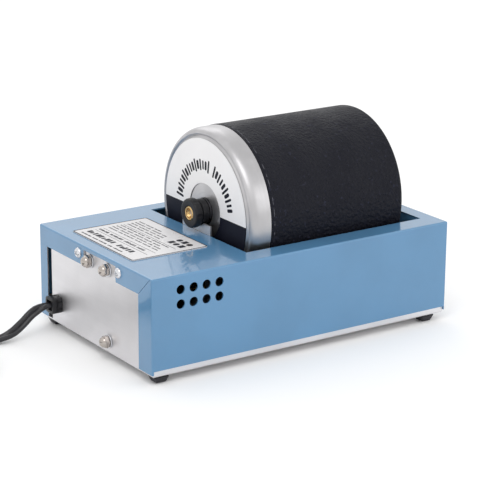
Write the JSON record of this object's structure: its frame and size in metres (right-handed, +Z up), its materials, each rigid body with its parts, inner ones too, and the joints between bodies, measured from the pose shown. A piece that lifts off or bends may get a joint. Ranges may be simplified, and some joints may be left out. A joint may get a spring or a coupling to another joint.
{
  "type": "rotary rock tumbler",
  "caption": "Lidded rubber barrel that rolls on driven shafts over a belt-drive motor in a blue sheet-metal case, to tumble and polish stones",
  "frame": {"origin": "on the ground plane under the middle of the object's box, measured without its free cord, coil and plug", "axes": "+X runs along the barrel from the motor end to the barrel end, +Y points away from the vented side, +Z is up"},
  "size_m": [0.416, 0.1514, 0.1434],
  "materials": {
    "blue_enamel": "glossy mid-blue enamel on folded sheet steel",
    "mill_aluminium": "mill-finish sheet with a faint brushed grain",
    "spun_aluminium": "satin spun sheet with a turned lay",
    "steel": "zinc-plated or ground steel",
    "nickel": "bright nickel plating",
    "brass": "turned brass",
    "barrel_rubber": "moulded rubber with a fine pebbled skin",
    "soft_rubber": "matte black rubber",
    "black_plastic": "black moulded plastic with a soft sheen",
    "white_nylon": "natural white nylon",
    "label_film": "printed film label",
    "lamination": "stacked electrical-steel sheets with dark oxide",
    "coil_tape": "copper winding under yellow insulating tape",
    "cord_vinyl": "black flexible vinyl cord jacket"
  },
  "bodies": {
    "case": {"housing_cover": "blue_enamel", "chassis_tray": "mill_aluminium", "inner_bulkhead": "mill_aluminium", "foot_front_left": "soft_rubber", "foot_front_right": "soft_rubber", "foot_rear_left": "soft_rubber", "foot_rear_right": "soft_rubber", "cover_screw_left_1": "steel", "cover_screw_left_2": "steel", "cover_screw_right_1": "steel", "cover_screw_right_2": "steel", "rating_label": "label_film", "motor_stator": "lamination", "motor_coil": "coil_tape", "motor_bracket_outer": "mill_aluminium", "motor_bracket_inner": "mill_aluminium", "washer_upper": "nickel", "washer_lower": "nickel", "washer_clip": "nickel", "dome_nut_upper": "nickel", "dome_nut_lower": "nickel", "dome_nut_clip": "nickel", "motor_stud_upper": "steel", "motor_stud_lower": "steel", "clip_screw": "steel", "cord_clip": "black_plastic", "bearing_drive_left": "white_nylon", "bearing_drive_right": "white_nylon", "bearing_idler_left": "white_nylon", "bearing_idler_right": "white_nylon", "drive_belt": "soft_rubber", "cord_gland": "black_plastic", "power_cord": "cord_vinyl", "cord_tail": "cord_vinyl", "inner_lead": "cord_vinyl", "cord_coil": "cord_vinyl", "plug_body": "black_plastic", "plug_blade_left": "nickel", "plug_blade_right": "nickel"},
    "barrel": {"barrel_shell": "barrel_rubber", "inner_lid": "steel", "lid_stud": "steel", "outer_lid": "spun_aluminium", "lid_label": "label_film"},
    "clamp_washer": {"lid_washer": "steel"},
    "clamp_knob": {"lid_knob": "black_plastic", "knob_insert": "brass"},
    "drive_roller": {"drive_shaft": "steel", "drive_sleeve": "soft_rubber", "drive_wheel": "black_plastic", "clip_drive_left": "steel", "clip_drive_right": "steel"},
    "idler_roller": {"idler_shaft": "steel", "idler_sleeve": "white_nylon", "clip_idler_left": "steel", "clip_idler_right": "steel"},
    "motor_armature": {"motor_rotor": "steel", "motor_shaft": "steel", "cooling_fan": "black_plastic", "motor_pulley": "brass"}
  },
  "joints": [
    {"name": "barrel_spin", "type": "hinge", "parent": "case", "child": "barrel", "pos_m": [0, 0.0015, 0.08565], "axis": [1, 0, 0], "continuous": true},
    {"name": "drive_roller_spin", "type": "hinge", "parent": "case", "child": "drive_roller", "pos_m": [0, 0.0375, 0.03207], "axis": [1, 0, 0], "continuous": true},
    {"name": "idler_roller_spin", "type": "hinge", "parent": "case", "child": "idler_roller", "pos_m": [0, -0.0345, 0.03207], "axis": [1, 0, 0], "continuous": true},
    {"name": "motor_spin", "type": "hinge", "parent": "case", "child": "motor_armature", "pos_m": [-0.089, -0.0173, 0.0385], "axis": [1, 0, 0], "continuous": true},
    {"name": "knob_travel", "type": "slide", "parent": "barrel", "child": "clamp_washer", "axis": [-1, 0, 0], "range_m": [0, 0.008]},
    {"name": "knob_turn", "type": "hinge", "parent": "clamp_washer", "child": "clamp_knob", "pos_m": [-0.037, 0.0015, 0.08565], "axis": [-1, 0, 0], "range_deg": [0, 2880]}
  ],
  "couplings": [
    {"joint": "drive_roller_spin", "follows": "barrel_spin", "ratio": -8.8846},
    {"joint": "idler_roller_spin", "follows": "barrel_spin", "ratio": -8.8846},
    {"joint": "motor_spin", "follows": "barrel_spin", "ratio": -39.297},
    {"joint": "knob_turn", "follows": "knob_travel", "rad_per_m": 6283.2}
  ]
}
